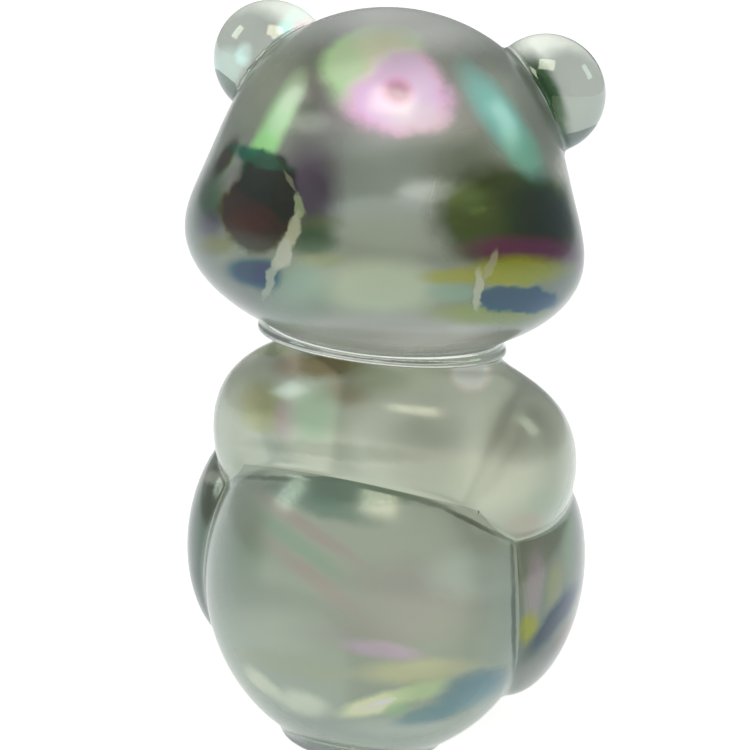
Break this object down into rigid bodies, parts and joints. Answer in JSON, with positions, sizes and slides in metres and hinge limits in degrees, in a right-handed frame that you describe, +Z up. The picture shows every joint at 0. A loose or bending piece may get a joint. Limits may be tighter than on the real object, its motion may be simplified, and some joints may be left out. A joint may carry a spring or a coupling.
{
  "type": "seated bear figurine",
  "caption": "Seated bear figurine in solid clear crystal glass with a satin iridescent film: round head and ears, folded arms, drawn-up legs and a low ground foot.",
  "frame": {"origin": "centre of the figurine's bounding box at the underside of its ground foot, on the surface that it stands on", "axes": "+Z up through the head; the bear faces -Y; +X is the bear's left"},
  "size_m": [0.05, 0.0512, 0.0913],
  "materials": {
    "ground_glass": "ground flat and fire polished at the rim",
    "iridised_body": "satin, with a pale grey-green iridescent metal-oxide film",
    "iridised_shoulders": "satin, with a warmer grey-green iridescent metal-oxide film",
    "iridised_legs": "polished, with a yellow, violet and blue banded iridescent film",
    "iridised_head": "polished, with the heaviest iridescent film: rose, green, blue and dark brown patches",
    "clear_glass": "clear and fire polished, with only a trace of film"
  },
  "bodies": {
    "root": {"base_foot": "ground_glass", "body": "iridised_body", "shoulders": "iridised_shoulders", "left_arm": "iridised_shoulders", "right_arm": "iridised_shoulders", "left_paw": "iridised_shoulders", "right_paw": "iridised_shoulders", "left_leg": "iridised_legs", "right_leg": "iridised_legs", "left_foot": "iridised_legs", "right_foot": "iridised_legs", "left_sole": "iridised_legs", "right_sole": "iridised_legs", "neck_ring": "clear_glass", "head": "iridised_head", "left_ear": "clear_glass", "right_ear": "clear_glass", "muzzle": "iridised_head", "nose": "clear_glass", "left_eye": "clear_glass", "right_eye": "clear_glass"}
  },
  "joints": []
}
